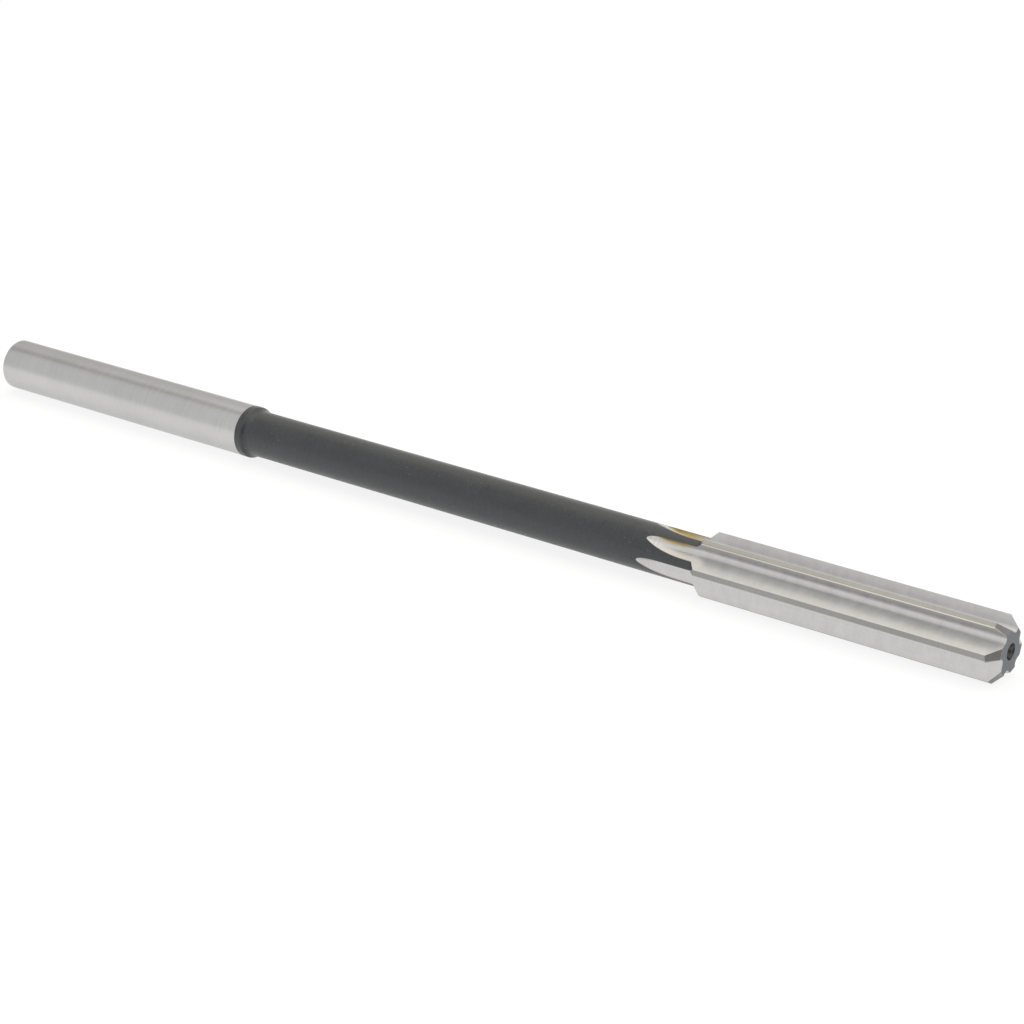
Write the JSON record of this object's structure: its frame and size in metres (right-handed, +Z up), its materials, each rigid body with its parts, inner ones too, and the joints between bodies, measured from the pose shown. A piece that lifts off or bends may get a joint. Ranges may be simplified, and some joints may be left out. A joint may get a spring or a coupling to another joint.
{
  "type": "straight-shank machine reamer",
  "caption": "Right-hand machine reamer with straight flutes, an angled lead, a slim neck with flute run-outs and a plain ground shank; lies on its teeth.",
  "frame": {"origin": "midway along the tool and under its axis, in the plane the tool rests on, which touches the edges of two neighbouring teeth", "axes": "+X along the tool from the shank towards the cutting end, +Z up, +Y across the tool"},
  "size_m": [0.1778, 0.0092, 0.0083],
  "materials": {
    "tool_steel": "ground high-speed steel"
  },
  "bodies": {
    "root": {"reamer_body": "tool_steel"}
  },
  "joints": []
}
